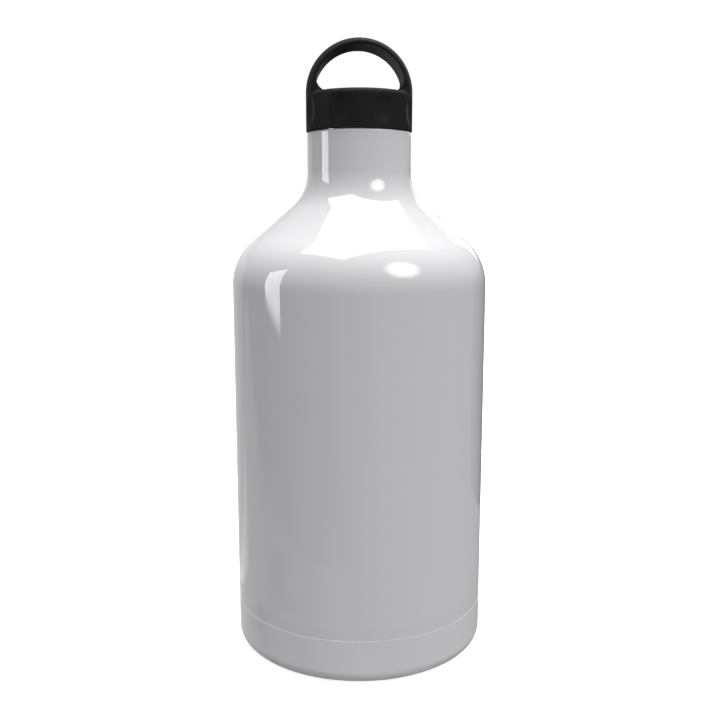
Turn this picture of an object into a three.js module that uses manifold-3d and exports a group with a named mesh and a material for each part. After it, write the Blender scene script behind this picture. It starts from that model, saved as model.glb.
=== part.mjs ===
// Insulated growler: a double-wall steel bottle with a screw cap that has a fixed carrying loop.
// Millimetres, +Z up. The origin is the centre of the foot, on the surface that the bottle stands on.
// The loop spans X and the front of the bottle faces -Y.

import * as THREE from 'three';
import { mergeVertices } from 'three/addons/utils/BufferGeometryUtils.js';
import loadManifold from 'manifold-3d';

const manifold = await loadManifold();
manifold.setup();

// ---- Driving dimensions -------------------------------------------------------------------------

const GAP = 0.3;                    // clearance between pieces that are pressed, welded or glued together
const AROUND = 40;                  // facets round a turned piece
const ARC_STEPS = 2;                // a rounded stretch of a profile gets twice this many facets
const LOOP_ARC_FACETS = 12;         // facets along each curve of the loop's opening

const STEEL = 0.6;                  // sheet thickness of both walls
const VACUUM = 3.6;                 // space between the two walls

const BODY = {
  side: 61.5,                       // radius of the straight side
  shoulderZ: 178.7,                 // height at which the straight side ends
  shoulderRound: 27.2,              // radius of the shoulder's curve
  neck: 24.8,                       // radius of the straight neck
  neckZ: 232,                       // height at which the straight neck begins
  neckRound: 20.9,                  // radius of the hollow curve into the neck
};
const SEAM_Z = 21.7;                // weld between base cup and outer shell
const FOOT = { round: 6.2, innerRadius: 49, recessRadius: 46.6, recess: 2.6 };
const PORT = { hole: 1.2, well: 4, wellZ: 5, seat: 15, seatZ: 3.5 };
const DISC = { radius: 14.7, thickness: 0.5, bottom: 2.7 };
const BEAD = { radius: 3.4, bottom: 3.6, top: 4.7 };

const MOUTH = 19;                   // radius of the bore that the drink pours through
const LIP_Z = 261;                  // top of the pouring lip
const LIP_RADIUS = 20.8;
const LINER_FLOOR_Z = 10.8;
const LINER_ROUND = 12;             // radius of the liner's bottom corner
const LINER_SEAM_Z = 30;
const FOIL = { thickness: 0.1, bottom: 34, top: 176 };
const GETTER = { radius: 4, thickness: 1.6, strap: 0.5, strapWidth: 3, footLength: 3.5, reach: 4.5 };

const CAP = { radius: 25.3, bottom: 250.9, top: 268.7, edge: 2.7, rim: 0.4, wall: 1.9, ceiling: 265.8 };
const LOOP = { depth: 22.8, opening: 21.3, footRound: 5.5, root: 4 };
const SCOOP = { count: 8, radius: 13.5, depth: 1, height: 12.6 };

const THREAD = { pitch: 4, rootWidth: 1.8, crestWidth: 0.8, sink: 0.4, stepsPerTurn: 40 };
const RING = { inner: 19.9, root: 20.8, crest: 21.9, bottom: 243, threadZ: 253.2, turns: 1.4 };
const INSERT = { root: 22.2, crest: 21.1, outer: 23.1, bottom: 251.2, ceiling: 264.5, top: 265.5 };
const FLANK_OFFSET = 1.5;           // the cap's ridge sits this far below the neck's ridge when it is tight
const INSERT_THREAD = { start: 0.15, turns: 1.1 };

const GASKET = { inner: 18.7, outer: 21.6, thickness: 1.6 };
const PLUG = { radius: 18.4, wall: 1.2, bottom: 244.9, round: 2, flange: 21.6, flangeThickness: 1 };

// ---- Solids -------------------------------------------------------------------------------------

// Merges shared corners, drops collapsed triangles and turns every face outwards.
function closedGeometry(source) {
  const bare = source.clone();
  bare.deleteAttribute('normal');
  bare.deleteAttribute('uv');
  const merged = mergeVertices(bare, 1e-4);
  const corners = merged.index.array;
  const kept = [];
  for (let i = 0; i < corners.length; i += 3) {
    const [a, b, c] = [corners[i], corners[i + 1], corners[i + 2]];
    if (a !== b && b !== c && c !== a) kept.push(a, b, c);
  }
  const geometry = new THREE.BufferGeometry();
  geometry.setAttribute('position', merged.getAttribute('position'));
  geometry.setIndex(signedVolume(merged, kept) < 0 ? kept.reverse() : kept);
  return geometry;
}

function signedVolume(geometry, corners) {
  const position = geometry.getAttribute('position');
  const [a, b, c] = [new THREE.Vector3(), new THREE.Vector3(), new THREE.Vector3()];
  let sixfold = 0;
  for (let i = 0; i < corners.length; i += 3) {
    a.fromBufferAttribute(position, corners[i]);
    b.fromBufferAttribute(position, corners[i + 1]);
    c.fromBufferAttribute(position, corners[i + 2]);
    sixfold += a.dot(b.cross(c));
  }
  return sixfold / 6;
}

function toSolid(source) {
  const geometry = closedGeometry(source);
  return new manifold.Manifold(new manifold.Mesh({
    numProp: 3,
    vertProperties: new Float32Array(geometry.getAttribute('position').array),
    triVerts: new Uint32Array(geometry.index.array),
  }));
}

function toGeometry(solid) {
  const mesh = solid.getMesh();
  const geometry = new THREE.BufferGeometry();
  geometry.setAttribute('position', new THREE.BufferAttribute(mesh.vertProperties, 3));
  geometry.setIndex(Array.from(mesh.triVerts));
  return geometry;
}

// Turns a profile of (radius, height) about Z.
function revolve(profile, segments = AROUND) {
  const turned = new THREE.LatheGeometry(profile.getPoints(ARC_STEPS), segments);
  turned.rotateX(Math.PI / 2);
  return closedGeometry(turned);
}

// A plain ring or disc between two radii and two heights.
function ring(inner, outer, bottom, top) {
  const profile = new THREE.Path();
  profile.moveTo(inner, bottom);
  profile.lineTo(outer, bottom);
  profile.lineTo(outer, top);
  profile.lineTo(inner, top);
  if (inner > 0) profile.lineTo(inner, bottom);
  return revolve(profile);
}

// A right-hand screw ridge: a trapezium swept up a helix, thinned to a point at both ends.
// Height z belongs to turn 0, and the ridge runs from turn start over the given number of turns.
function screwRidge(baseRadius, crestRadius, z, start, turns) {
  const towards = Math.sign(crestRadius - baseRadius);
  const buried = baseRadius - towards * THREAD.sink;
  const steps = Math.round(turns * THREAD.stepsPerTurn);
  const taperSteps = THREAD.stepsPerTurn / 10;
  const points = [];
  for (let i = 0; i <= steps; i += 1) {
    const turn = start + (i / steps) * turns;
    const angle = turn * 2 * Math.PI;
    const fullness = Math.max(0.1, Math.min(1, i / taperSteps, (steps - i) / taperSteps));
    const crest = buried + (crestRadius - buried) * fullness;
    const middle = z + turn * THREAD.pitch;
    const section = [
      [buried, -THREAD.rootWidth / 2],
      [crest, -THREAD.crestWidth / 2],
      [crest, THREAD.crestWidth / 2],
      [buried, THREAD.rootWidth / 2],
    ];
    for (const [radius, rise] of section) {
      points.push(radius * Math.cos(angle), radius * Math.sin(angle), middle + rise);
    }
  }
  const faces = [0, 1, 2, 0, 2, 3];
  for (let i = 0; i < steps; i += 1) {
    for (let side = 0; side < 4; side += 1) {
      const [a, b] = [4 * i + side, 4 * i + ((side + 1) % 4)];
      faces.push(a, a + 4, b, b, a + 4, b + 4);
    }
  }
  const last = 4 * steps;
  faces.push(last, last + 2, last + 1, last, last + 3, last + 2);
  const geometry = new THREE.BufferGeometry();
  geometry.setAttribute('position', new THREE.Float32BufferAttribute(points, 3));
  geometry.setIndex(faces);
  return geometry;
}

// ---- Bottle profile -----------------------------------------------------------------------------

// How far the wall turns from upright on the cone between the shoulder's curve and the neck's curve.
function coneAngle(shape, inset) {
  const shoulderRound = shape.shoulderRound - inset;
  const neckRound = shape.neckRound + inset;
  const across = (shape.neck - inset + neckRound) - (shape.side - inset - shoulderRound);
  const up = shape.neckZ - shape.shoulderZ;
  return Math.atan2(up, across) - Math.acos((shoulderRound + neckRound) / Math.hypot(across, up));
}

// Follows the bottle's wall, moved inwards by inset, up from the side to the neck.
function climbWall(profile, shape, inset) {
  const angle = coneAngle(shape, inset);
  const shoulderRound = shape.shoulderRound - inset;
  const neckRound = shape.neckRound + inset;
  profile.lineTo(shape.side - inset, shape.shoulderZ);
  profile.absarc(shape.side - inset - shoulderRound, shape.shoulderZ, shoulderRound, 0, angle, false);
  profile.absarc(shape.neck - inset + neckRound, shape.neckZ, neckRound, Math.PI + angle, Math.PI, true);
}

// The same wall from the neck down to the side.
function descendWall(profile, shape, inset) {
  const angle = coneAngle(shape, inset);
  const shoulderRound = shape.shoulderRound - inset;
  const neckRound = shape.neckRound + inset;
  profile.absarc(shape.neck - inset + neckRound, shape.neckZ, neckRound, Math.PI, Math.PI + angle, false);
  profile.absarc(shape.side - inset - shoulderRound, shape.shoulderZ, shoulderRound, angle, 0, true);
}

// ---- Bottle -------------------------------------------------------------------------------------

// Side, shoulder and neck, turned in at the top to a ledge under the cap's skirt.
function outerShell() {
  const bottom = SEAM_Z + GAP / 2;
  const ledgeTop = CAP.bottom - GAP;
  const ledgeInner = RING.root + GAP;
  const corner = 0.8;
  const profile = new THREE.Path();
  profile.moveTo(BODY.side, bottom);
  climbWall(profile, BODY, 0);
  profile.absarc(BODY.neck - corner, ledgeTop - corner, corner, 0, Math.PI / 2, false);
  profile.lineTo(ledgeInner, ledgeTop);
  profile.lineTo(ledgeInner, ledgeTop - STEEL);
  profile.lineTo(BODY.neck - STEEL, ledgeTop - STEEL);
  descendWall(profile, BODY, STEEL);
  profile.lineTo(BODY.side - STEEL, bottom);
  profile.lineTo(BODY.side, bottom);
  return revolve(profile);
}

// Bottom cup with a foot ring, a raised middle, a seat for the disc and a well with the evacuation hole.
function baseCup() {
  const top = SEAM_Z - GAP / 2;
  const cornerRadius = BODY.side - FOOT.round;
  const profile = new THREE.Path();
  profile.moveTo(BODY.side, top);
  profile.lineTo(BODY.side, FOOT.round);
  profile.absarc(cornerRadius, FOOT.round, FOOT.round, 0, -Math.PI / 2, true);
  profile.lineTo(FOOT.innerRadius, 0);
  profile.lineTo(FOOT.recessRadius, FOOT.recess);
  profile.lineTo(PORT.seat, FOOT.recess);
  profile.lineTo(PORT.seat, PORT.seatZ);
  profile.lineTo(PORT.well, PORT.seatZ);
  profile.lineTo(PORT.well, PORT.wellZ);
  profile.lineTo(PORT.hole, PORT.wellZ);
  profile.lineTo(PORT.hole, PORT.wellZ + STEEL);
  profile.lineTo(PORT.well + STEEL, PORT.wellZ + STEEL);
  profile.lineTo(PORT.well + STEEL, PORT.seatZ + STEEL);
  profile.lineTo(PORT.seat + STEEL, PORT.seatZ + STEEL);
  profile.lineTo(PORT.seat + STEEL, FOOT.recess + STEEL);
  profile.lineTo(FOOT.recessRadius, FOOT.recess + STEEL);
  profile.lineTo(FOOT.innerRadius, STEEL);
  profile.absarc(cornerRadius, FOOT.round, FOOT.round - STEEL, -Math.PI / 2, 0, false);
  profile.lineTo(BODY.side - STEEL, top);
  profile.lineTo(BODY.side, top);
  return revolve(profile);
}

const LINER = {
  side: BODY.side - STEEL - VACUUM,
  shoulderZ: BODY.shoulderZ,
  shoulderRound: BODY.shoulderRound - STEEL - VACUUM,
  neck: MOUTH + STEEL,
  neckZ: BODY.neckZ,
  neckRound: BODY.neckRound + STEEL + VACUUM,
};

// Inner bottle, turned out at the top to the pouring lip.
function innerLiner() {
  const bottom = LINER_SEAM_Z + GAP / 2;
  const profile = new THREE.Path();
  profile.moveTo(LINER.side, bottom);
  climbWall(profile, LINER, 0);
  profile.lineTo(LINER.neck, LIP_Z - STEEL);
  profile.lineTo(LIP_RADIUS, LIP_Z - STEEL);
  profile.lineTo(LIP_RADIUS, LIP_Z);
  profile.lineTo(MOUTH, LIP_Z);
  descendWall(profile, LINER, STEEL);
  profile.lineTo(LINER.side - STEEL, bottom);
  profile.lineTo(LINER.side, bottom);
  return revolve(profile);
}

function linerBase() {
  const top = LINER_SEAM_Z - GAP / 2;
  const underside = LINER_FLOOR_Z - STEEL;
  const cornerRadius = LINER.side - LINER_ROUND;
  const cornerZ = underside + LINER_ROUND;
  const profile = new THREE.Path();
  profile.moveTo(0, underside);
  profile.lineTo(cornerRadius, underside);
  profile.absarc(cornerRadius, cornerZ, LINER_ROUND, -Math.PI / 2, 0, false);
  profile.lineTo(LINER.side, top);
  profile.lineTo(LINER.side - STEEL, top);
  profile.absarc(cornerRadius, cornerZ, LINER_ROUND - STEEL, 0, -Math.PI / 2, true);
  profile.lineTo(0, LINER_FLOOR_Z);
  return revolve(profile);
}

function neckRing() {
  const sleeve = ring(RING.inner, RING.root, RING.bottom, LIP_Z - STEEL - GAP);
  const ridge = screwRidge(RING.root, RING.crest, RING.threadZ, 0, RING.turns);
  return toGeometry(toSolid(sleeve).add(toSolid(ridge)));
}

function reflectorFoil() {
  const inner = LINER.side + GAP;
  return ring(inner, inner + FOIL.thickness, FOIL.bottom, FOIL.top);
}

const PELLET_TOP = LINER_FLOOR_Z - STEEL - GAP;

function getterPellet() {
  return ring(0, GETTER.radius, PELLET_TOP - GETTER.thickness, PELLET_TOP);
}

// Strap bent like a hat: two feet under the liner's base and a bridge below the pellet.
function getterClip() {
  const footTop = PELLET_TOP;
  const bridgeTop = PELLET_TOP - GETTER.thickness - GAP;
  const { strap, reach, footLength } = GETTER;
  const outline = new THREE.Shape();
  outline.moveTo(-reach - strap - footLength, footTop - strap);
  outline.lineTo(-reach - strap, footTop - strap);
  outline.lineTo(-reach - strap, bridgeTop - strap);
  outline.lineTo(reach + strap, bridgeTop - strap);
  outline.lineTo(reach + strap, footTop - strap);
  outline.lineTo(reach + strap + footLength, footTop - strap);
  outline.lineTo(reach + strap + footLength, footTop);
  outline.lineTo(reach, footTop);
  outline.lineTo(reach, bridgeTop);
  outline.lineTo(-reach, bridgeTop);
  outline.lineTo(-reach, footTop);
  outline.lineTo(-reach - strap - footLength, footTop);
  const strip = new THREE.ExtrudeGeometry(outline, { depth: GETTER.strapWidth, bevelEnabled: false });
  strip.rotateX(Math.PI / 2);
  strip.translate(0, GETTER.strapWidth / 2, 0);
  return closedGeometry(strip);
}

// ---- Cap ----------------------------------------------------------------------------------------

// Skirt and top as one turned shape.
function capBlank() {
  const profile = new THREE.Path();
  profile.moveTo(0, CAP.ceiling);
  profile.lineTo(CAP.radius - CAP.wall, CAP.ceiling);
  profile.lineTo(CAP.radius - CAP.wall, CAP.bottom);
  profile.lineTo(CAP.radius - CAP.rim, CAP.bottom);
  profile.lineTo(CAP.radius, CAP.bottom + CAP.rim);
  profile.absarc(CAP.radius - CAP.edge, CAP.top - CAP.edge, CAP.edge, 0, Math.PI / 2, false);
  profile.lineTo(0, CAP.top);
  return revolve(profile);
}

// The loop is a dome as wide as the cap, cut to a band, with a round-footed opening through it along Y.
function loopBand() {
  const dome = new THREE.Path();
  dome.moveTo(0, CAP.top - LOOP.root / 2);
  dome.lineTo(CAP.radius - LOOP.root / 2, CAP.top - LOOP.root / 2);
  dome.lineTo(CAP.radius - CAP.edge / 2, CAP.top - CAP.edge);
  dome.lineTo(CAP.radius, CAP.top - CAP.edge);
  for (let step = 0; step <= AROUND / 4; step += 1) {
    const angle = (step / (AROUND / 4)) * (Math.PI / 2);
    dome.lineTo(CAP.radius * Math.cos(angle), CAP.top + CAP.radius * Math.sin(angle));
  }
  const slab = new THREE.BoxGeometry(3 * CAP.radius, LOOP.depth, 4 * CAP.radius);
  slab.translate(0, 0, CAP.top);
  return toSolid(revolve(dome)).intersect(toSolid(slab)).subtract(toSolid(loopOpening()));
}

function loopOpening() {
  const footX = Math.sqrt((LOOP.opening - LOOP.footRound) ** 2 - LOOP.footRound ** 2);
  const tangent = Math.atan2(LOOP.footRound, footX);
  const outline = new THREE.Shape();
  outline.moveTo(-footX, 0);
  outline.lineTo(footX, 0);
  outline.absarc(footX, LOOP.footRound, LOOP.footRound, -Math.PI / 2, tangent, false);
  outline.absarc(0, 0, LOOP.opening, tangent, Math.PI - tangent, false);
  outline.absarc(-footX, LOOP.footRound, LOOP.footRound, Math.PI - tangent, 1.5 * Math.PI, false);
  const through = 2 * LOOP.depth;
  const options = { depth: through, bevelEnabled: false, curveSegments: LOOP_ARC_FACETS };
  const opening = new THREE.ExtrudeGeometry(outline, options);
  opening.rotateX(Math.PI / 2);
  opening.translate(0, through / 2, CAP.top);
  return opening;
}

// Upright, shallow finger scoops, spaced evenly, with a full-thickness land at each foot of the loop.
function scoopTool(index) {
  const endReach = Math.sqrt(2 * SCOOP.radius * SCOOP.depth);
  const straight = SCOOP.height - 2 * endReach;
  const tool = new THREE.CapsuleGeometry(SCOOP.radius, straight, 8, 40);
  tool.rotateX(Math.PI / 2);
  tool.translate(CAP.radius + SCOOP.radius - SCOOP.depth, 0, (CAP.bottom + CAP.top) / 2);
  tool.rotateZ(((index + 0.5) / SCOOP.count) * 2 * Math.PI);
  return toSolid(tool);
}

function loopCap() {
  let solid = toSolid(capBlank()).add(loopBand());
  for (let index = 0; index < SCOOP.count; index += 1) {
    solid = solid.subtract(scoopTool(index));
  }
  return toGeometry(solid);
}

function threadInsert() {
  const profile = new THREE.Path();
  profile.moveTo(0, INSERT.ceiling);
  profile.lineTo(INSERT.root, INSERT.ceiling);
  profile.lineTo(INSERT.root, INSERT.bottom);
  profile.lineTo(INSERT.outer, INSERT.bottom);
  profile.lineTo(INSERT.outer, INSERT.top);
  profile.lineTo(0, INSERT.top);
  const { start, turns } = INSERT_THREAD;
  const ridge = screwRidge(INSERT.root, INSERT.crest, RING.threadZ - FLANK_OFFSET, start, turns);
  return toGeometry(toSolid(revolve(profile)).add(toSolid(ridge)));
}

const GASKET_TOP = LIP_Z + GAP + GASKET.thickness;
const FLANGE_TOP = GASKET_TOP + GAP + PLUG.flangeThickness;

function mouthGasket() {
  return ring(GASKET.inner, GASKET.outer, LIP_Z + GAP, GASKET_TOP);
}

function plugCup() {
  const inner = PLUG.radius - PLUG.wall;
  const profile = new THREE.Path();
  profile.moveTo(0, PLUG.bottom);
  profile.lineTo(PLUG.radius - PLUG.round, PLUG.bottom);
  profile.absarc(PLUG.radius - PLUG.round, PLUG.bottom + PLUG.round, PLUG.round, -Math.PI / 2, 0, false);
  profile.lineTo(PLUG.radius, FLANGE_TOP - PLUG.flangeThickness);
  profile.lineTo(PLUG.flange, FLANGE_TOP - PLUG.flangeThickness);
  profile.lineTo(PLUG.flange, FLANGE_TOP);
  profile.lineTo(inner, FLANGE_TOP);
  profile.lineTo(inner, PLUG.bottom + PLUG.wall);
  profile.lineTo(0, PLUG.bottom + PLUG.wall);
  return revolve(profile);
}

function plugFoam() {
  return ring(0, PLUG.radius - PLUG.wall - GAP, PLUG.bottom + PLUG.wall + GAP, FLANGE_TOP);
}

// ---- Assembly -----------------------------------------------------------------------------------

const growler = new THREE.Group();

function addPiece(name, geometry, color, roughness, metalness) {
  geometry.computeVertexNormals();
  const material = new THREE.MeshStandardMaterial({ color, roughness, metalness });
  const piece = new THREE.Mesh(geometry, material);
  piece.name = name;
  growler.add(piece);
}

addPiece('outer_shell', outerShell(), 0xe6e6e8, 0.18, 0);
addPiece('base_cup', baseCup(), 0xe6e6e8, 0.18, 0);
addPiece('base_disc', ring(0, DISC.radius, DISC.bottom, DISC.bottom + DISC.thickness), 0xb8babc, 0.35, 1);
addPiece('vacuum_seal', ring(0, BEAD.radius, BEAD.bottom, BEAD.top), 0x8c8c88, 0.4, 0);
addPiece('inner_liner', innerLiner(), 0xc4c4c2, 0.3, 1);
addPiece('liner_base', linerBase(), 0xc4c4c2, 0.3, 1);
addPiece('neck_ring', neckRing(), 0xbcbebf, 0.3, 1);
addPiece('reflector_foil', reflectorFoil(), 0xb87350, 0.35, 1);
addPiece('getter_pellet', getterPellet(), 0x5a5c60, 0.8, 0.2);
addPiece('getter_clip', getterClip(), 0xa8aaac, 0.4, 1);
addPiece('mouth_gasket', mouthGasket(), 0xd8d8d4, 0.7, 0);
addPiece('loop_cap', loopCap(), 0x1c1c1c, 0.45, 0);
addPiece('thread_insert', threadInsert(), 0x202020, 0.5, 0);
addPiece('plug_cup', plugCup(), 0x262626, 0.5, 0);
addPiece('plug_foam', plugFoam(), 0xe8e2d0, 0.9, 0);

export default growler;
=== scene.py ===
# Insulated growler: a double-wall steel bottle with a gloss white coat, closed by a black screw cap
# that has a carrying loop. Profiles are in millimetres and meshes in metres, +Z up, as in the frame.
# The origin is the centre of the foot, the loop spans X and the front of the bottle faces -Y.

import math

import bpy
import numpy as np
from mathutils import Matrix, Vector


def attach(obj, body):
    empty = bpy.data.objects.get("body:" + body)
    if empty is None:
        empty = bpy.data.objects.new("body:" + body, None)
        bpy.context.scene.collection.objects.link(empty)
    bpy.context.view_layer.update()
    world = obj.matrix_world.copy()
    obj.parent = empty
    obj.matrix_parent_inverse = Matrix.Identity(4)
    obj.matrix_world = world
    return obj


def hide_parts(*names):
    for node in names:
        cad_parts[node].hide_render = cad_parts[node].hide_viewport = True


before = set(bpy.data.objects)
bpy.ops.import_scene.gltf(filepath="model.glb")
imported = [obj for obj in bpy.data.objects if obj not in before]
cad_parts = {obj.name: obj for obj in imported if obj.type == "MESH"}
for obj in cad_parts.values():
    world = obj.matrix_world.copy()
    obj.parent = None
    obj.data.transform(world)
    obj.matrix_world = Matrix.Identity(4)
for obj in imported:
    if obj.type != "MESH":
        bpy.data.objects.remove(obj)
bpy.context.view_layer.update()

MM = 0.001
AROUND = 192  # facets round the bottle
AROUND_THREAD = 256  # facets round a piece with a screw ridge
AROUND_SMALL = 144  # facets round a small turned piece
SHARP_ANGLE = 40  # degrees between faces from which an edge looks sharp

# ---- Dimensions in millimetres, the same as the CAD model's -------------------------------------

GAP = 0.3  # clearance between pieces that are pressed, welded or glued together
STEEL = 0.6  # sheet thickness of both walls
VACUUM = 3.6  # space between the two walls

SIDE = 61.5  # radius of the straight side
SHOULDER_Z = 178.7  # height at which the straight side ends
SHOULDER_ROUND = 27.2
NECK = 24.8  # radius of the straight neck
NECK_Z = 232  # height at which the straight neck begins
NECK_ROUND = 20.9  # radius of the hollow curve into the neck
LEDGE_Z = 250.6  # flat top of the neck, under the cap
LEDGE_INNER = 21.1
LEDGE_OUTER_ROUND = 0.8
LEDGE_INNER_ROUND = 0.15

SEAM_Z = 21.7  # weld between the base cup and the shell
SEAM_GAP = 0.06  # width of the groove along the weld
SEAM_ROUND = 0.05  # rounding of the shell's lower edge
SEAM_STEP = 0.2  # the base cup's edge stands this far proud of the shell's
SEAM_TAPER = 6  # height over which the shell draws in by that step
FOOT_ROUND = 6.2
FOOT_INNER = 49  # inner radius of the ring that the bottle stands on
RECESS_RADIUS = 46.6
RECESS = 2.6  # height of the recess inside the ring
DISC_SEAT = 15  # radius of the step that the base disc is glued into
DISC_SEAT_Z = 3.5
WELL = 4  # radius of the well that holds the glass bead
WELL_Z = 5
PORT = 1.2  # radius of the hole that the air was drawn out through
DISC_RADIUS = 14.7
DISC_BOTTOM = 2.7
DISC_THICKNESS = 0.5
BEAD_RADIUS = 3.4
BEAD_BOTTOM = 3.6
BEAD_TOP = 4.7

LINER_SIDE = SIDE - STEEL - VACUUM
LINER_SHOULDER_ROUND = SHOULDER_ROUND - STEEL - VACUUM
LINER_NECK_ROUND = NECK_ROUND + STEEL + VACUUM
MOUTH = 19  # radius of the bore that the drink pours through
LIP_Z = 261  # top of the pouring lip
LIP_RADIUS = 20.8
LINER_FLOOR_Z = 10.8
LINER_ROUND = 12  # outer radius of the liner's bottom corner
LINER_SEAM_Z = 30
FOIL_THICKNESS = 0.1
FOIL_BOTTOM = 34
FOIL_TOP = 176
GETTER_RADIUS = 4
GETTER_THICKNESS = 1.6

THREAD_PITCH = 4
THREAD_ROOT_WIDTH = 1.8
THREAD_CREST_WIDTH = 0.8
THREAD_RUN_OUT = 0.1  # turns over which a ridge rises at each end
THREAD_OFFSET = 1.5  # the cap's ridge sits this far below the neck's ridge when the cap is tight
RING_INNER = 19.9
RING_ROOT = 20.8
RING_CREST = 21.9
RING_BOTTOM = 243
RING_TOP = LIP_Z - STEEL - GAP
RING_BEVEL = 0.2
RING_THREAD_Z = 253.2  # height of the ridge at turn 0
RING_TURNS = 1.4
INSERT_ROOT = 22.2
INSERT_CREST = 21.1
INSERT_OUTER = 23.1
INSERT_BOTTOM = 251.2
INSERT_CEILING = 264.5
INSERT_TOP = 265.5
INSERT_BEVEL = 0.15
INSERT_START = 0.15  # turn at which the insert's ridge starts
INSERT_TURNS = 1.1

CAP_RADIUS = 25.3
CAP_BOTTOM = 250.9
CAP_TOP = 268.7
CAP_MIDDLE = (CAP_BOTTOM + CAP_TOP) / 2
CAP_TOP_ROUND = 2.7
CAP_BOTTOM_ROUND = 0.4
CAP_WALL = 1.9
CAP_CEILING = 265.8
CAP_CEILING_ROUND = 0.5
CAP_INNER_EDGE = 0.3  # rounding of the skirt's inner lower edge
LOOP_DEPTH = 22.8  # size of the loop's band from front to back
LOOP_OPENING = 21.3  # radius of the half-disc opening
LOOP_FOOT_ROUND = 5.5
LOOP_OUTER_EDGE = 0.8  # rounding of the band's edges outside and in the opening
LOOP_INNER_EDGE = 0.5
LOOP_FILLET = 1.2  # largest width of the fillet between loop and cap
LOOP_FILLET_GROWTH = 0.8  # width that the fillet gains with each mm of depth inside the band
SCOOP_COUNT = 8
SCOOP_RADIUS = 13.5
SCOOP_DEPTH = 1
SCOOP_STRAIGHT = 2.2  # length of the straight part of the capsule that cuts a scoop
SCOOP_EDGE = 0.6
CAP_CELL = 0.41  # cell size of the grid that the cap's surface is worked out on

GASKET_INNER = 18.7
GASKET_OUTER = 21.6
GASKET_THICKNESS = 1.6
PLUG_RADIUS = 18.4
PLUG_WALL = 1.2
PLUG_INNER = PLUG_RADIUS - PLUG_WALL
PLUG_BOTTOM = 244.9
PLUG_FLOOR = PLUG_BOTTOM + PLUG_WALL
PLUG_TOP = INSERT_CEILING - GAP
PLUG_ROUND = 2
PLUG_FLANGE = 21.6
PLUG_FLANGE_THICKNESS = 1

# ---- Turned meshes ------------------------------------------------------------------------------


def arc(centre_r, centre_z, radius, start, end, steps):
    """Points along a circle of the profile's plane, from one angle in degrees to another."""
    angles = np.radians(np.linspace(start, end, steps + 1))
    return [(centre_r + radius * math.cos(a), centre_z + radius * math.sin(a)) for a in angles]


def rounded(corners, steps=5):
    """Profile through corners of (radius, height, rounding), each cut back to an arc."""
    points = []
    for index, (r, z, rounding) in enumerate(corners):
        corner = np.array((r, z), float)
        if rounding == 0:
            points.append(tuple(corner))
            continue
        before = np.array(corners[index - 1][:2], float) - corner
        after = np.array(corners[(index + 1) % len(corners)][:2], float) - corner
        before /= np.linalg.norm(before)
        after /= np.linalg.norm(after)
        half = math.acos(np.clip(before @ after, -1, 1)) / 2
        middle = before + after
        centre = corner + middle / np.linalg.norm(middle) * rounding / math.sin(half)
        reach = rounding / math.tan(half)
        first = corner + before * reach - centre
        last = corner + after * reach - centre
        begin = math.atan2(first[1], first[0])
        sweep = (math.atan2(last[1], last[0]) - begin + math.pi) % (2 * math.pi) - math.pi
        for step in range(steps + 1):
            angle = begin + sweep * step / steps
            points.append((centre[0] + rounding * math.cos(angle), centre[1] + rounding * math.sin(angle)))
    return points


def supported(profile, margin=0.3):
    """The profile with a point near each end of every long straight, so that shading stays flat there."""
    points = []
    for index, start in enumerate(profile):
        end = profile[(index + 1) % len(profile)]
        across = end[0] - start[0]
        up = end[1] - start[1]
        length = math.dist(start, end)
        points.append(start)
        if length > 5 * margin:
            for share in (margin / length, 1 - margin / length):
                points.append((start[0] + across * share, start[1] + up * share))
    return points


def ring_faces(number, on_axis):
    """Faces between neighbouring rings of numbered corners. A ring on the axis has only one corner."""
    faces = []
    for row in range(len(number)):
        above = (row + 1) % len(number)
        if on_axis[row] and on_axis[above]:
            continue
        a, b = number[row], number[above]
        d, c = np.roll(a, -1), np.roll(b, -1)
        if on_axis[row]:
            sides = [a, c, b]
        elif on_axis[above]:
            sides = [a, d, c]
        else:
            sides = [a, d, c, b]
        faces += np.stack(sides, axis=1).tolist()
    return faces


def turned(name, profile, facets=AROUND_SMALL, relief=None):
    """Closed mesh turned about Z from a closed profile of (radius, height), plus a relief on its radius."""
    points = np.array(supported(profile))
    following = np.roll(points, -1, axis=0)
    if (points[:, 0] * following[:, 1] - following[:, 0] * points[:, 1]).sum() < 0:
        points = points[::-1]
    angle, radius = np.meshgrid(np.arange(facets) / facets * 2 * math.pi, points[:, 0])
    height = np.repeat(points[:, 1:], facets, axis=1)
    if relief:
        radius = radius + relief(angle, radius, height)
    on_axis = points[:, 0] < 1e-6
    number = np.arange(radius.size).reshape(radius.shape)
    number[on_axis] = number[on_axis, :1]
    used, number = np.unique(number, return_inverse=True)
    number = number.reshape(radius.shape)
    places = np.stack((radius * np.cos(angle), radius * np.sin(angle), height), axis=2)
    corners = places.reshape(-1, 3)[used]
    mesh = bpy.data.meshes.new(name)
    mesh.from_pydata((corners * MM).tolist(), [], ring_faces(number, on_axis))
    mesh.shade_smooth()
    mesh.set_sharp_from_angle(angle=math.radians(SHARP_ANGLE))
    return mesh


def ease(value):
    """Smooth step from 0 to 1."""
    value = np.clip(value, 0, 1)
    return value * value * (3 - 2 * value)


def screw_ridge(root, crest, middle_z, start, turns):
    """Relief of a right-hand screw ridge on the wall at the root radius. middle_z belongs to turn 0."""

    def relief(angle, radius, height):
        ridge = np.zeros_like(radius)
        for lap in range(math.ceil(start + turns)):
            turn = angle / (2 * math.pi) + lap
            off_middle = np.abs(height - middle_z - turn * THREAD_PITCH)
            flank = (THREAD_ROOT_WIDTH - THREAD_CREST_WIDTH) / 2
            across = 1 - ease((off_middle - THREAD_CREST_WIDTH / 2) / flank)
            ends = ease((turn - start) / THREAD_RUN_OUT) * ease((start + turns - turn) / THREAD_RUN_OUT)
            ridge = np.maximum(ridge, across * ends)
        return np.where(np.abs(radius - root) < 0.01, ridge * (crest - root), 0)

    return relief


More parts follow.
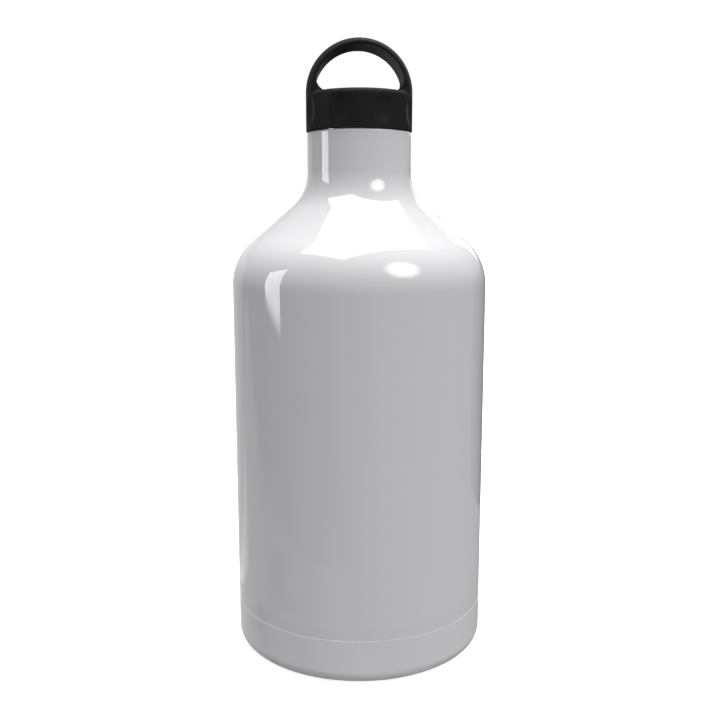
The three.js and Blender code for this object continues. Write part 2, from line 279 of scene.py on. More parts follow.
def upright(radius, low, high, spacing=0.1):
    """Closely spaced points up a wall that carries a screw ridge."""
    return [(radius, z) for z in np.linspace(low, high, round(abs(high - low) / spacing) + 1)]


def cone_angle(side, shoulder_round, neck, neck_round):
    """Angle in degrees from upright of the cone between the shoulder's curve and the neck's curve."""
    across = (neck + neck_round) - (side - shoulder_round)
    up = NECK_Z - SHOULDER_Z
    tilt = math.atan2(up, across) - math.acos((shoulder_round + neck_round) / math.hypot(across, up))
    return math.degrees(tilt)


def wall(side, shoulder_round, neck, neck_round, steps=56):
    """Shoulder, cone and neck curve of a bottle, from the side up, with so many steps in each curve."""
    cone = cone_angle(side, shoulder_round, neck, neck_round)
    shoulder = arc(side - shoulder_round, SHOULDER_Z, shoulder_round, 0, cone, steps)
    return shoulder + arc(neck + neck_round, NECK_Z, neck_round, 180 + cone, 180, steps)


# ---- Bottle -------------------------------------------------------------------------------------


def outer_shell():
    bottom = SEAM_Z + SEAM_GAP / 2
    inner_side = SIDE - STEEL
    inner_neck = NECK - STEEL
    foot = SIDE - SEAM_STEP - SEAM_ROUND
    outside = wall(SIDE, SHOULDER_ROUND, NECK, NECK_ROUND)
    inside = wall(inner_side, SHOULDER_ROUND - STEEL, inner_neck, NECK_ROUND + STEEL)
    ledge_outer = NECK - LEDGE_OUTER_ROUND
    ledge_inner = LEDGE_INNER + LEDGE_INNER_ROUND
    profile = arc(foot, bottom + SEAM_ROUND, SEAM_ROUND, -90, 0, 4)
    profile += [(SIDE, bottom + SEAM_TAPER)]
    profile += outside
    profile += arc(ledge_outer, LEDGE_Z - LEDGE_OUTER_ROUND, LEDGE_OUTER_ROUND, 0, 90, 8)
    profile += arc(ledge_inner, LEDGE_Z - LEDGE_INNER_ROUND, LEDGE_INNER_ROUND, 90, 180, 4)
    profile += [(LEDGE_INNER, LEDGE_Z - STEEL), (inner_neck, LEDGE_Z - STEEL)]
    profile += inside[::-1]
    profile += [(inner_side, bottom)]
    return turned("outer_shell", profile, AROUND)


def base_cup():
    top = SEAM_Z - SEAM_GAP / 2
    outside = [
        (SIDE, top, 0.15),
        (SIDE, 0, FOOT_ROUND),
        (FOOT_INNER, 0, 1.6),
        (RECESS_RADIUS, RECESS, 1.6),
        (DISC_SEAT, RECESS, 0.35),
        (DISC_SEAT, DISC_SEAT_Z, 0.3),
        (WELL, DISC_SEAT_Z, 0.5),
        (WELL, WELL_Z, 0.4),
        (PORT, WELL_Z, 0.2),
    ]
    inside = [
        (PORT, WELL_Z + STEEL, 0.1),
        (WELL + STEEL, WELL_Z + STEEL, 0.6),
        (WELL + STEEL, DISC_SEAT_Z + STEEL, 0.3),
        (DISC_SEAT + STEEL, DISC_SEAT_Z + STEEL, 0.4),
        (DISC_SEAT + STEEL, RECESS + STEEL, 0.3),
        (RECESS_RADIUS, RECESS + STEEL, 1),
        (FOOT_INNER, STEEL, 2),
        (SIDE - STEEL, STEEL, FOOT_ROUND - STEEL),
        (SIDE - STEEL, top, 0.1),
    ]
    return turned("base_cup", rounded(outside + inside, 10), AROUND)


def inner_liner():
    bottom = LINER_SEAM_Z + GAP / 2
    neck = MOUTH + STEEL
    lip_round = STEEL / 2
    pour_round = 0.5
    outside = wall(LINER_SIDE, LINER_SHOULDER_ROUND, neck, LINER_NECK_ROUND, 32)
    inside = wall(LINER_SIDE - STEEL, LINER_SHOULDER_ROUND - STEEL, MOUTH, LINER_NECK_ROUND + STEEL, 32)
    profile = [(LINER_SIDE, bottom)]
    profile += outside
    profile += [(neck, LIP_Z - STEEL), (LIP_RADIUS - lip_round, LIP_Z - STEEL)]
    profile += arc(LIP_RADIUS - lip_round, LIP_Z - lip_round, lip_round, -90, 90, 8)
    profile += arc(MOUTH + pour_round, LIP_Z - pour_round, pour_round, 90, 180, 8)
    profile += inside[::-1]
    profile += [(LINER_SIDE - STEEL, bottom)]
    return turned("inner_liner", profile)


def liner_base():
    top = LINER_SEAM_Z - GAP / 2
    corners = [
        (0, LINER_FLOOR_Z - STEEL, 0),
        (LINER_SIDE, LINER_FLOOR_Z - STEEL, LINER_ROUND),
        (LINER_SIDE, top, 0.1),
        (LINER_SIDE - STEEL, top, 0.1),
        (LINER_SIDE - STEEL, LINER_FLOOR_Z, LINER_ROUND - STEEL),
        (0, LINER_FLOOR_Z, 0),
    ]
    return turned("liner_base", rounded(corners, 12))


def neck_ring():
    root = RING_ROOT - RING_BEVEL
    profile = upright(RING_ROOT, RING_BOTTOM + RING_BEVEL, RING_TOP - RING_BEVEL)
    profile += [(root, RING_TOP), (RING_INNER, RING_TOP)]
    profile += [(RING_INNER, RING_BOTTOM), (root, RING_BOTTOM)]
    ridge = screw_ridge(RING_ROOT, RING_CREST, RING_THREAD_Z, 0, RING_TURNS)
    return turned("neck_ring", profile, AROUND_THREAD, ridge)


def plain_turned(name, corners):
    """Small turned piece through corners of (radius, height, rounding)."""
    return turned(name, rounded(corners, 6))


def washer(name, inner, outer, low, high, rounding):
    """Ring of rectangular section with rounded corners, or a disc where inner is 0."""
    inside = [(inner, high, rounding), (inner, low, rounding)] if inner else [(0, high, 0), (0, low, 0)]
    return plain_turned(name, inside + [(outer, low, rounding), (outer, high, rounding)])


def base_disc():
    return washer("base_disc", 0, DISC_RADIUS, DISC_BOTTOM, DISC_BOTTOM + DISC_THICKNESS, 0.15)


def vacuum_seal():
    """Bead of glass that closes the port, drawn in towards the top."""
    corners = [
        (0, BEAD_BOTTOM, 0),
        (BEAD_RADIUS, BEAD_BOTTOM, 0.2),
        (BEAD_RADIUS, BEAD_BOTTOM + 0.6, 0.2),
        (BEAD_RADIUS - 1.2, BEAD_TOP, 0.6),
        (0, BEAD_TOP, 0),
    ]
    return plain_turned("vacuum_seal", corners)


def reflector_foil():
    inner = LINER_SIDE + GAP
    return washer("reflector_foil", inner, inner + FOIL_THICKNESS, FOIL_BOTTOM, FOIL_TOP, 0.04)


def getter_pellet():
    top = LINER_FLOOR_Z - STEEL - GAP
    return washer("getter_pellet", 0, GETTER_RADIUS, top - GETTER_THICKNESS, top, 0.3)


def mouth_gasket():
    bottom = LIP_Z + GAP
    return washer("mouth_gasket", GASKET_INNER, GASKET_OUTER, bottom, bottom + GASKET_THICKNESS, 0.5)


# ---- Cap ----------------------------------------------------------------------------------------


def joined(a, b, width):
    """Union of two distances, with a fillet about as wide as width."""
    width = np.maximum(width, 1e-6)
    overlap = np.maximum(width - np.abs(a - b), 0)
    return np.minimum(a, b) - overlap * overlap / (4 * width)


def common(a, b, width):
    """Intersection of two distances, with the edge rounded over about width."""
    return -joined(-a, -b, width)


def round_block(radial, z, radius, low, high, rounding):
    """Distance from an upright round block with rounded rims."""
    across = radial - (radius - rounding)
    along = np.abs(z - (low + high) / 2) - ((high - low) / 2 - rounding)
    outside = np.hypot(np.maximum(across, 0), np.maximum(along, 0))
    return outside + np.minimum(np.maximum(across, along), 0) - rounding


def loop_opening(x, above_top):
    """Distance from the opening under the loop: a disc cut flat below, grown by its feet's rounding."""
    radius = LOOP_OPENING - LOOP_FOOT_ROUND
    low = LOOP_FOOT_ROUND
    half_width = math.sqrt(radius * radius - low * low)
    x = np.abs(x)
    side = (low - radius) * x * x + half_width * half_width * (low + radius - 2 * above_top)
    round_part = np.maximum(side, low * x - half_width * above_top) < 0
    flat_part = np.where(x < half_width, low - above_top, np.hypot(x - half_width, above_top - low))
    return np.where(round_part, np.hypot(x, above_top) - radius, flat_part) - LOOP_FOOT_ROUND


def scoops(x, y, z):
    """Distance from the nearest of the capsules that cut the finger scoops."""
    spacing = 2 * math.pi / SCOOP_COUNT
    folded = (np.arctan2(y, x) % spacing) - spacing / 2
    radial = np.hypot(x, y)
    across = radial * np.cos(folded) - (CAP_RADIUS + SCOOP_RADIUS - SCOOP_DEPTH)
    beside = radial * np.sin(folded)
    along = np.maximum(np.abs(z - CAP_MIDDLE) - SCOOP_STRAIGHT / 2, 0)
    return np.sqrt(across * across + beside * beside + along * along) - SCOOP_RADIUS


def cap_distance(x, y, z):
    """Distance from the cap's surface, negative inside the plastic."""
    radial = np.hypot(x, y)
    edge = np.where(z > CAP_MIDDLE, CAP_TOP_ROUND, CAP_BOTTOM_ROUND)
    blank = round_block(radial, z, CAP_RADIUS, CAP_BOTTOM, CAP_TOP, edge)
    dome = np.hypot(radial, np.maximum(z - CAP_TOP, 0)) - CAP_RADIUS
    opening = loop_opening(x, z - CAP_TOP)
    band = common(dome, np.abs(y) - LOOP_DEPTH / 2, LOOP_OUTER_EDGE)
    band = common(band, -opening, LOOP_INNER_EDGE)
    band = np.maximum(band, CAP_TOP - CAP_TOP_ROUND - z)
    fillet = np.clip(LOOP_FILLET_GROWTH * np.minimum(-dome, opening), 0, LOOP_FILLET)
    solid = joined(blank, band, fillet)
    below = CAP_BOTTOM - 20  # the hollow runs out through the bottom
    hollow = round_block(radial, z, CAP_RADIUS - CAP_WALL, below, CAP_CEILING, CAP_CEILING_ROUND)
    solid = common(solid, -hollow, CAP_INNER_EDGE)
    return common(solid, -scoops(x, y, z), SCOOP_EDGE)


def slope(distance, points, reach=0.02):
    """Gradient of a distance function at points."""
    result = np.empty_like(points)
    for axis in range(3):
        shift = np.zeros(3)
        shift[axis] = reach
        result[:, axis] = distance(*(points + shift).T) - distance(*(points - shift).T)
    return result / (2 * reach)


def settled(distance, points, reach):
    """Moves points on to the surface along its gradient, in four steps of at most reach."""
    for _ in range(4):
        direction = slope(distance, points)
        gap = distance(*points.T) / np.maximum((direction * direction).sum(axis=1), 0.1)
        points = points - np.clip(gap, -reach, reach)[:, None] * direction
    return points


def crossings(field, axis, strides):
    """Where the grid's edges along an axis cross the surface, and the four cells round each such edge."""
    count = field.shape[axis]
    start = field.take(range(count - 1), axis)
    end = field.take(range(1, count), axis)
    place = np.argwhere((start < 0) != (end < 0))
    start = start[tuple(place.T)]
    end = end[tuple(place.T)]
    crossing = place.astype(float)
    crossing[:, axis] += start / (start - end)
    second = strides[(axis + 1) % 3]
    third = strides[(axis + 2) % 3]
    corner = place @ strides
    cells = np.stack((corner - second - third, corner - third, corner, corner - second), axis=1)
    return crossing, np.where((start < 0)[:, None], cells, cells[:, ::-1])


def surface_net(distance, low, high, step):
    """Points, outward directions and quads of the surface where a distance function is zero.

    Each grid cell that the surface passes through gets one point, near the mean of the crossings round it.
    """
    low = np.array(low, float)
    samples = [np.arange(a, b + step, step) for a, b in zip(low, high)]
    field = distance(*np.meshgrid(*samples, indexing="ij"))
    strides = np.array((field.shape[1] * field.shape[2], field.shape[2], 1))
    sums = np.zeros((4, field.size))
    quads = []
    for axis in range(3):
        crossing, cells = crossings(field, axis, strides)
        for row in range(3):
            sums[row] += np.bincount(cells.ravel(), np.repeat(crossing[:, row], 4), field.size)
        sums[3] += np.bincount(cells.ravel(), minlength=field.size)
        quads.append(cells)
    used = np.flatnonzero(sums[3])
    points = settled(distance, low + step * (sums[:3, used] / sums[3, used]).T, step / 2)
    direction = slope(distance, points)
    direction /= np.linalg.norm(direction, axis=1)[:, None]
    return points, direction, np.searchsorted(used, np.concatenate(quads))


def loop_cap():
    margin = 1
    reach = CAP_RADIUS + margin
    low = (-reach, -reach, CAP_BOTTOM - margin)
    high = (reach, reach, CAP_TOP + reach)
    points, directions, quads = surface_net(cap_distance, low, high, CAP_CELL)
    mesh = bpy.data.meshes.new("loop_cap")
    mesh.from_pydata((points * MM).tolist(), [], quads.tolist())
    mesh.shade_smooth()
    mesh.normals_split_custom_set_from_vertices(directions.tolist())
    return mesh


def thread_insert():
    bevelled = INSERT_BOTTOM + INSERT_BEVEL
    profile = [(0, INSERT_CEILING), (INSERT_ROOT, INSERT_CEILING)]
    profile += upright(INSERT_ROOT, INSERT_CEILING - 2 * INSERT_BEVEL, bevelled)
    profile += [(INSERT_ROOT + INSERT_BEVEL, INSERT_BOTTOM), (INSERT_OUTER - INSERT_BEVEL, INSERT_BOTTOM)]
    profile += [(INSERT_OUTER, bevelled), (INSERT_OUTER, INSERT_TOP), (0, INSERT_TOP)]
    ridge_z = RING_THREAD_Z - THREAD_OFFSET
    ridge = screw_ridge(INSERT_ROOT, INSERT_CREST, ridge_z, INSERT_START, INSERT_TURNS)
    return turned("thread_insert", profile, AROUND_THREAD, ridge)


def plug_cup():
    flange_bottom = PLUG_TOP - PLUG_FLANGE_THICKNESS
    corners = [
        (0, PLUG_BOTTOM, 0),
        (PLUG_RADIUS, PLUG_BOTTOM, PLUG_ROUND),
        (PLUG_RADIUS, flange_bottom, 0.3),
        (PLUG_FLANGE, flange_bottom, 0.25),
        (PLUG_FLANGE, PLUG_TOP, 0.25),
        (PLUG_INNER, PLUG_TOP, 0.3),
        (PLUG_INNER, PLUG_FLOOR, 1),
        (0, PLUG_FLOOR, 0),
    ]
    return plain_turned("plug_cup", corners)


def plug_foam():
    return washer("plug_foam", 0, PLUG_INNER - GAP, PLUG_FLOOR + GAP, PLUG_TOP, 0.8)


# ---- Materials ----------------------------------------------------------------------------------

MOST_NOISE = (0.3, 0.7)  # nearly all values of a noise texture lie between these
WHITE = (1, 1, 1, 1)


class Nodes:
    """A node tree and short calls to add nodes to it."""

    def __init__(self, tree):
        self.tree = tree

    def link(self, value, socket):
        self.tree.links.new(value, socket)

    def add(self, kind, settings=None, **inputs):
        """Adds a node, sets its properties and fills its inputs with values or links.

        An input is given by its name, with _ for a space, or by _ and its number.
        """
        node = self.tree.nodes.new(kind)
        for key, value in (settings or {}).items():
            setattr(node, key, value)
        for key, value in inputs.items():
            socket = node.inputs[int(key[1:])] if key[0] == "_" else node.inputs[key.replace("_", " ")]
            if isinstance(value, bpy.types.NodeSocket):
                self.link(value, socket)
            else:
                socket.default_value = value
        return node

    def maths(self, operation, a, b=0.0):
        return self.add("ShaderNodeMath", {"operation": operation}, _0=a, _1=b).outputs[0]

    def split(self, vector):
        """The X, Y and Z of a vector."""
        return self.add("ShaderNodeSeparateXYZ", Vector=vector).outputs

    def spread(self, value, low, high, out_low, out_high, settings=None):
        """Maps a range of a value onto another, clamped."""
        node = self.add("ShaderNodeMapRange", settings, _0=value, _1=low, _2=high, _3=out_low, _4=out_high)
        return node.outputs[0]


class Finish(Nodes):
    """A Principled material and short calls to vary its looks over a surface."""

    def __init__(self, name, color, roughness, metallic=0.0, **settings):
        self.material = bpy.data.materials.new(name)
        self.material.use_nodes = True
        super().__init__(self.material.node_tree)
        self.shader = self.tree.nodes["Principled BSDF"]
        self.shader.inputs["Base Color"].default_value = (*color, 1)
        self.shader.inputs["Roughness"].default_value = roughness
        self.shader.inputs["Metallic"].default_value = metallic
        for socket, value in settings.items():
            self.shader.inputs[socket.replace("_", " ")].default_value = value
        self.place = self.add("ShaderNodeTexCoord").outputs["Object"]

    def noise(self, scale, detail=2.0, vector=None):
        node = self.add("ShaderNodeTexNoise", Vector=vector or self.place, Scale=scale, Detail=detail)
        return node.outputs["Fac"]

    def patches(self, scale, detail, low=0.0, high=1.0):
        """Soft random patches with values from low to high."""
        return self.spread(self.noise(scale, detail), *MOST_NOISE, low, high)

    def cells(self, scale):
        return self.add("ShaderNodeTexVoronoi", Vector=self.place, Scale=scale).outputs["Distance"]

    def tint(self, value, first, second):
        """Base colour between two colours, by a value from 0 to 1."""
        node = self.add("ShaderNodeMix", {"data_type": "RGBA"}, _0=value, _6=(*first, 1), _7=(*second, 1))
        self.link(node.outputs[2], self.shader.inputs["Base Color"])

    def roughen(self, value):
        self.link(value, self.shader.inputs["Roughness"])

    def glow(self, strength):
        self.shader.inputs["Emission Color"].default_value = WHITE
        self.shader.inputs["Emission Strength"].default_value = strength

    def bump(self, height, distance, below=None):
        """Bump of a height map with the given depth in metres, on top of another bump."""
        node = self.add("ShaderNodeBump", Height=height, Distance=distance, Strength=1.0)
        if below:
            self.link(below, node.inputs["Normal"])
        self.link(node.outputs[0], self.shader.inputs["Normal"])
        return node.outputs[0]

    def turning(self, stretch, fineness):
        """Coordinates in which noise becomes fine lines round the piece."""
        x, y, z = self.split(self.place)
        squares = self.maths("ADD", self.maths("MULTIPLY", x, x), self.maths("MULTIPLY", y, y))
        along = self.maths("ADD", self.maths("SQRT", squares), z)
        lines = self.add(
            "ShaderNodeCombineXYZ",
            X=self.maths("MULTIPLY", x, stretch),
            Y=self.maths("MULTIPLY", y, stretch),
            Z=self.maths("MULTIPLY", along, fineness),
        )
        return lines.outputs[0]


def white_coat():
    """Gloss powder coat: faint orange peel, and a darker, rougher band on the foot where it stands, which
    is painted contact shade.
    """
    paint = (0.74, 0.74, 0.762)
    # darker paint, used both for random tone patches and for the painted contact shade at the foot
    toned_and_shaded_paint = (0.70, 0.70, 0.72)
    foot_shade_height = 0.0009  # metres up from the floor that are darkened with painted contact shade
    finish = Finish("white_coat", paint, 0.1, IOR=1.5)
    peel = finish.bump(finish.noise(420.0, 1.0), 4e-7)
    finish.bump(finish.noise(90.0, 1.0), 8e-7, peel)
    # painted contact shade: the paint darkens, with a little noise, in a thin band just above the floor
    foot = finish.spread(finish.split(finish.place)[2], 0.0, foot_shade_height, 1.0, 0.0)
    foot_shade = finish.maths("MULTIPLY", foot, finish.spread(finish.noise(180.0, 4.0), 0.35, 0.7, 0.0, 1.0))
    tone = finish.patches(9.0, 3.0, 0.0, 0.35)
    # random tone patches and the painted contact shade at the foot both pull the paint towards the darker
    # colour
    finish.tint(finish.maths("MAXIMUM", tone, foot_shade), paint, toned_and_shaded_paint)
    haze = finish.patches(26.0, 4.0, 0.02, 0.035)
    finish.roughen(finish.maths("ADD", haze, finish.maths("MULTIPLY", foot_shade, 0.3)))
    return finish.material


def brushed_steel():
    """Stainless steel with fine turning lines."""
    finish = Finish("bare_steel", (0.62, 0.61, 0.60), 0.28, metallic=1.0)
    lines = finish.noise(1.0, 3.0, finish.turning(6.0, 5200.0))
    finish.bump(lines, 4e-6)
    finish.roughen(finish.spread(lines, *MOST_NOISE, 0.2, 0.36))
    finish.tint(finish.noise(60.0, 3.0), (0.56, 0.55, 0.54), (0.68, 0.67, 0.66))
    return finish.material


def copper_foil():
    """Crinkled copper foil."""
    finish = Finish("foil", (0.72, 0.38, 0.24), 0.3, metallic=1.0)
    finish.bump(finish.cells(90.0), 2e-4)
    finish.roughen(finish.patches(40.0, 3.0, 0.22, 0.4))
    finish.tint(finish.noise(25.0, 3.0), (0.66, 0.33, 0.20), (0.78, 0.43, 0.28))
    return finish.material


def sintered_getter():
    """Dark pressed metal powder."""
    finish = Finish("getter", (0.12, 0.12, 0.13), 0.8, metallic=0.3)
    grains = finish.cells(3500.0)
    finish.bump(grains, 5e-5)
    finish.tint(grains, (0.08, 0.08, 0.09), (0.2, 0.2, 0.21))
    return finish.material


def sealing_glass():
    """Grey solder glass, slightly mottled."""
    finish = Finish("solder_glass", (0.2, 0.2, 0.19), 0.15)
    finish.bump(finish.noise(900.0, 2.0), 2e-5)
    tone = finish.spread(finish.noise(1500.0, 3.0), 0.35, 0.65, 0.0, 1.0)
    finish.tint(tone, (0.16, 0.16, 0.15), (0.26, 0.26, 0.24))
    return finish.material


def silicone():
    """Milky silicone rubber."""
    finish = Finish("silicone", (0.70, 0.70, 0.68), 0.5, Subsurface_Weight=0.2, Subsurface_Scale=0.001)
    finish.bump(finish.noise(1400.0, 3.0), 6e-6)
    finish.roughen(finish.patches(220.0, 3.0, 0.42, 0.58))
    finish.tint(finish.noise(45.0, 3.0), (0.68, 0.68, 0.65), (0.73, 0.73, 0.71))
    return finish.material


def black_moulding():
    """Black polypropylene with the fine, even grain of an eroded mould."""
    finish = Finish("black_moulding", (0.02, 0.02, 0.0202), 0.45, Specular_IOR_Level=0.015)
    grain = finish.bump(finish.noise(3600.0, 3.0), 3e-6)
    finish.bump(finish.noise(160.0, 2.0), 4e-6, grain)
    finish.roughen(finish.patches(70.0, 4.0, 0.41, 0.49))
    finish.tint(finish.patches(30.0, 3.0), (0.019, 0.019, 0.0192), (0.021, 0.021, 0.0212))
    return finish.material


def cream_foam():
    """Rigid cream foam with fine pores."""
    finish = Finish("foam", (0.80, 0.76, 0.62), 0.9)
    pores = finish.cells(1600.0)
    finish.bump(pores, 3e-4)
    finish.tint(pores, (0.62, 0.57, 0.43), (0.84, 0.80, 0.66))
    return finish.material


def studio_floor():
    """Nearly white floor that glows, so that the shadow on it stays faint."""
    finish = Finish("studio_floor", (0.9, 0.9, 0.9), 0.7, Specular_IOR_Level=0.2)
    finish.tint(finish.noise(2.0, 2.0), (0.89, 0.89, 0.89), (0.91, 0.91, 0.91))
    finish.glow(0.7)
    return finish.material


def card_black():
    """Matt black card with a faint glow, which is painted light standing in for a little light on it."""
    finish = Finish("card_black", (0.01, 0.01, 0.01), 0.9, Specular_IOR_Level=0.0)
    finish.tint(finish.noise(20.0, 2.0), (0.008, 0.008, 0.008), (0.012, 0.012, 0.012))
    # painted light: a faint glow on the black card
    finish.glow(0.06)
    return finish.material


# ---- Pieces -------------------------------------------------------------------------------------


def show(mesh, node, body, finish):
    """Shows a mesh in place of a CAD node."""
    piece = bpy.data.objects.new(node + "_detail", mesh)
    bpy.context.collection.objects.link(piece)
    mesh.materials.append(finish)
    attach(piece, body)
    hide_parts(node)
    return piece


coat = white_coat()
steel = brushed_steel()
plastic = black_moulding()

show(outer_shell(), "outer_shell", "bottle", coat)
show(base_cup(), "base_cup", "bottle", coat)
show(base_disc(), "base_disc", "bottle", steel)
show(inner_liner(), "inner_liner", "bottle", steel)
show(liner_base(), "liner_base", "bottle", steel)
show(neck_ring(), "neck_ring", "bottle", steel)
show(vacuum_seal(), "vacuum_seal", "bottle", sealing_glass())
show(reflector_foil(), "reflector_foil", "bottle", copper_foil())
show(getter_pellet(), "getter_pellet", "bottle", sintered_getter())
show(mouth_gasket(), "mouth_gasket", "seal", silicone())
cap = show(loop_cap(), "loop_cap", "cap", plastic)
cap.visible_glossy = False  # keeps the cap's small dark reflection off the bright shoulder
show(thread_insert(), "thread_insert", "cap", plastic)
show(plug_cup(), "plug_cup", "cap", plastic)
show(plug_foam(), "plug_foam", "cap", cream_foam())

# The getter's clip keeps its CAD shape.
for material_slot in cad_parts["getter_clip"].material_slots:
    material_slot.material = steel

# ---- Studio, in metres --------------------------------------------------------------------------

YAW = 3  # degrees that the front of the bottle is turned to the viewer's right
CAMERA_DISTANCE = 0.4376  # from the bottle's axis
CAMERA_HEIGHT = 0.2127
CAMERA_TILT = 9.35  # degrees downwards
CAMERA_LENS = 44.504  # millimetres, as is the sensor's width
SENSOR_WIDTH = 36
CAMERA_SHIFT = 0.0012  # centres the bottle in the picture

FLOOR_HALF = 30  # half the size of the floor
FLOOR_Z = -0.0002  # the floor and the lamps on it lie just under the foot
FLOOR_LAMP_Z = -0.0001
ORIGIN = (0, 0, 0)

ROOM_LEFT = 0.41  # brightness of the room on the viewer's left, and on the right
ROOM_RIGHT = 0.32
ROOM_BACKDROP = 1.05  # brightness of the plain white that the camera sees behind the bottle
DARK_BELOW = (-0.85, -0.45)  # the room darkens between these Z of a direction, towards straight below


def around(azimuth, distance, height=0.0):
    """Place round the bottle, at an angle in degrees from the camera towards the viewer's right."""
    angle = math.radians(azimuth - YAW)
    return (distance * math.sin(angle), -distance * math.cos(angle), height)


def backdrop(name, corners, finish):
    """Flat piece of the studio through four corners, which isn't part of the object."""
    mesh = bpy.data.meshes.new(name)
    mesh.from_pydata(corners, [], [(0, 1, 2, 3)])
    mesh.materials.append(finish)
    piece = bpy.data.objects.new(name, mesh)
    bpy.context.collection.objects.link(piece)
    piece.visible_diffuse = False
    return piece


def floor():
    ways = [(-1, -1), (1, -1), (1, 1), (-1, 1)]
    corners = [(x * FLOOR_HALF, y * FLOOR_HALF, FLOOR_Z) for x, y in ways]
    backdrop("floor", corners, studio_floor()).visible_glossy = False


def dark_card(left, right, low, high):
    """Upright black card that only shows in reflections, where it sharpens an edge."""
    corners = [(*left[:2], low), (*right[:2], low), (*right[:2], high), (*left[:2], high)]
    card = backdrop("dark_card", corners, card_black())
    card.visible_camera = False
    card.visible_shadow = False


def light(name, kind, energy, location, target, diffuse=True, glossy=True, **settings):
    """Lamp at a place, aimed at a target. It lights matt surfaces, shows in glossy ones, or both."""
    data = bpy.data.lights.new(name, kind)
    data.energy = energy
    for key, value in settings.items():
        setattr(data, key, value)
    lamp = bpy.data.objects.new(name, data)
    lamp.location = location
    lamp.rotation_mode = "QUATERNION"
    lamp.rotation_quaternion = (Vector(target) - lamp.location).to_track_quat("-Z", "Y")
    lamp.visible_camera = False
    lamp.visible_diffuse = diffuse
    lamp.visible_glossy = glossy
    bpy.context.collection.objects.link(lamp)
    return lamp


def radiant_power(radiance, area):
    """Power of an area lamp that has the given radiance."""
    return radiance * area * math.pi


def disc_lamp(name, radiance, radius, location, target, **settings):
    """Round flat lamp."""
    power = radiant_power(radiance, math.pi * radius**2)
    return light(name, "AREA", power, location, target, shape="DISK", size=2 * radius, **settings)


def panel_lamp(name, radiance, width, height, location, target):
    """Rectangular lamp that only shows in reflections."""
    power = radiant_power(radiance, width * height)
    size = {"shape": "RECTANGLE", "size": width, "size_y": height}
    return light(name, "AREA", power, location, target, diffuse=False, **size)


def lying_panel(name, radiance, place, length, width, turn, faces_up=False):
    """Level panel lamp, with its length turned by so many degrees about Z from the viewer's right."""
    below = (place[0], place[1], place[2] - 1)
    panel = panel_lamp(name, radiance, length, width, place, below)
    panel.rotation_mode = "XYZ"
    panel.rotation_euler = (math.pi if faces_up else 0, 0, math.radians(turn - YAW))


def standing_panel(name, radiance, left, right, low, high):
    """Upright panel lamp that faces the bottle. left and right are as seen from behind the lamp."""
    middle = ((left[0] + right[0]) / 2, (left[1] + right[1]) / 2, (low + high) / 2)
    ahead = (middle[0] + left[1] - right[1], middle[1] + right[0] - left[0], middle[2])
    return panel_lamp(name, radiance, math.dist(left, right), high - low, middle, ahead)


def lamp_nodes(lamp):
    lamp.data.use_nodes = True
    return Nodes(lamp.data.node_tree)


def fade(nodes, value, bright, dark):
    """Fades a lamp's emission from full to nothing as a value goes from bright to dark."""
    strength = nodes.spread(value, dark, bright, 0.0, 1.0, {"interpolation_type": "SMOOTHSTEP"})
    nodes.link(strength, nodes.tree.nodes["Emission"].inputs["Strength"])


def fade_down(lamp, bright_z, dark_z):
    """Fades a lamp out downwards between two heights."""
    nodes = lamp_nodes(lamp)
    place = nodes.add("ShaderNodeNewGeometry").outputs["Position"]
    fade(nodes, nodes.split(place)[2], bright_z, dark_z)


def soften_rim(lamp, bright_radius, dark_radius):
    """Fades a round lamp out towards its rim."""
    nodes = lamp_nodes(lamp)
    place = nodes.add("ShaderNodeNewGeometry").outputs["Position"]
    offset = nodes.add("ShaderNodeVectorMath", {"operation": "DISTANCE"}, _0=place, _1=lamp.location)
    fade(nodes, offset.outputs["Value"], bright_radius, dark_radius)


def suns():
    """Wide, soft light from above, and a weaker one from the front right."""
    light("sky", "SUN", 3.6, (0, 0.3, 2), ORIGIN, glossy=False, angle=math.radians(50))
    light("right_fill", "SUN", 1.1, around(45, 1, 0.6), ORIGIN, glossy=False, angle=math.radians(60))


def left_strip():
    """Upright strip lamp on the left, which shows on the neck and on the shoulder's left."""
    left = around(-88.7, 1.17)
    right = around(-70.4, 0.74)
    strip = standing_panel("left_strip", radiance=7, left=left, right=right, low=0.045, high=0.61)
    fade_down(strip, 0.098, 0.052)


def round_lamp():
    """Round lamp at the front right, which shows as a soft spot on the neck and on the shoulder."""
    radius = 0.45
    place = around(44, 1.15, 1.03)
    foot_of_neck = (0, 0, 0.23)
    lamp = disc_lamp("round_lamp", 9, radius, place, target=foot_of_neck, diffuse=False)
    soften_rim(lamp, 0.22, radius)


def floor_glow():
    """The little light that the floor throws up at the bottle."""
    place = (0, 0, FLOOR_LAMP_Z)
    disc_lamp("floor_glow", radiance=0.06, radius=0.2, location=place, target=(0, 0, 1), glossy=False)


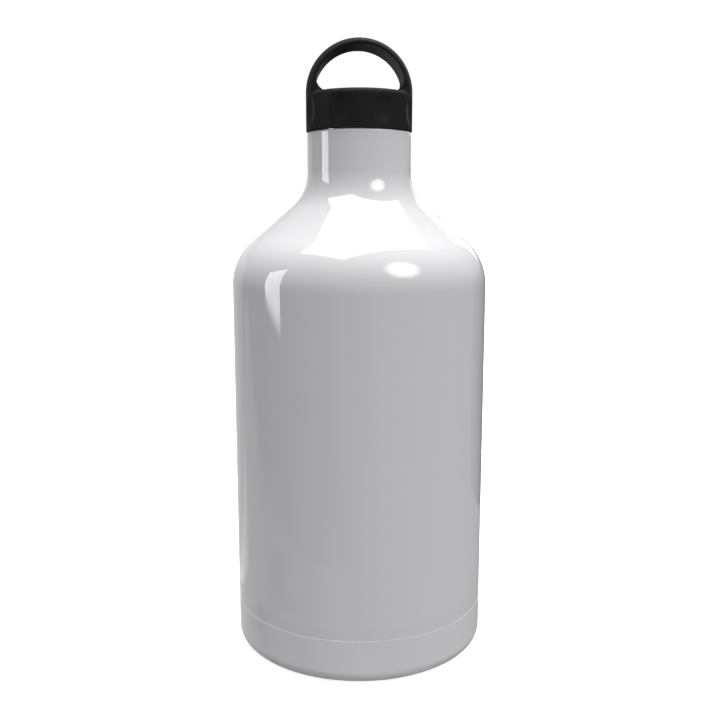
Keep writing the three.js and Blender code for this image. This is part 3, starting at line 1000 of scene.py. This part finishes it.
def panels():
    """Lamps and a dark card that shape the reflections: overhead, behind, and on the floor at the left."""
    lying_panel("overhead", radiance=9, place=(0.07, 0.25, 1.71), length=2.02, width=1.11, turn=41.5)
    lit_floor = around(-116.25, 0.898, FLOOR_LAMP_Z)
    lying_panel(
        "left_floor", radiance=0.36, place=lit_floor, length=1.9, width=0.2, turn=-32.4, faces_up=True
    )
    right_back = around(180, 1.5)
    dark_card(around(122, 1.5), right_back, low=-0.36, high=0.3)
    standing_panel("back_card", radiance=0.9, left=around(148, 1.5), right=right_back, low=0.37, high=0.96)
    wall_left = around(-171.5, 1.731)
    wall_right = around(-126.5, 1.731)
    standing_panel("left_wall", radiance=0.36, left=wall_left, right=wall_right, low=-0.65, high=0.6)


def room():
    """Even light from all round, a little brighter on the left, and plain white for the camera."""
    world = bpy.data.worlds.new("studio")
    bpy.context.scene.world = world
    world.use_nodes = True
    nodes = Nodes(world.node_tree)
    sideways, _, upwards = nodes.split(nodes.add("ShaderNodeTexCoord").outputs["Generated"])
    across = nodes.spread(sideways, -1.0, 1.0, ROOM_LEFT, ROOM_RIGHT)
    above = nodes.spread(upwards, *DARK_BELOW, 0.0, 1.0)
    seen = nodes.add("ShaderNodeLightPath").outputs["Is Camera Ray"]
    strength = nodes.spread(seen, 0.0, 1.0, nodes.maths("MULTIPLY", across, above), ROOM_BACKDROP)
    background = nodes.tree.nodes["Background"]
    background.inputs["Color"].default_value = WHITE
    nodes.link(strength, background.inputs["Strength"])


def camera():
    """Camera in front of the bottle, level with the top of its shoulder and looking slightly down."""
    data = bpy.data.cameras.new("camera")
    data.lens = CAMERA_LENS
    data.sensor_width = SENSOR_WIDTH
    data.shift_x = CAMERA_SHIFT
    viewer = bpy.data.objects.new("camera", data)
    viewer.location = around(0, CAMERA_DISTANCE, CAMERA_HEIGHT)
    viewer.rotation_euler = (math.radians(90 - CAMERA_TILT), 0, math.radians(-YAW))
    bpy.context.collection.objects.link(viewer)
    bpy.context.scene.camera = viewer


floor()
suns()
panels()
left_strip()
round_lamp()
floor_glow()
room()
camera()
bpy.context.scene.view_settings.view_transform = "Standard"
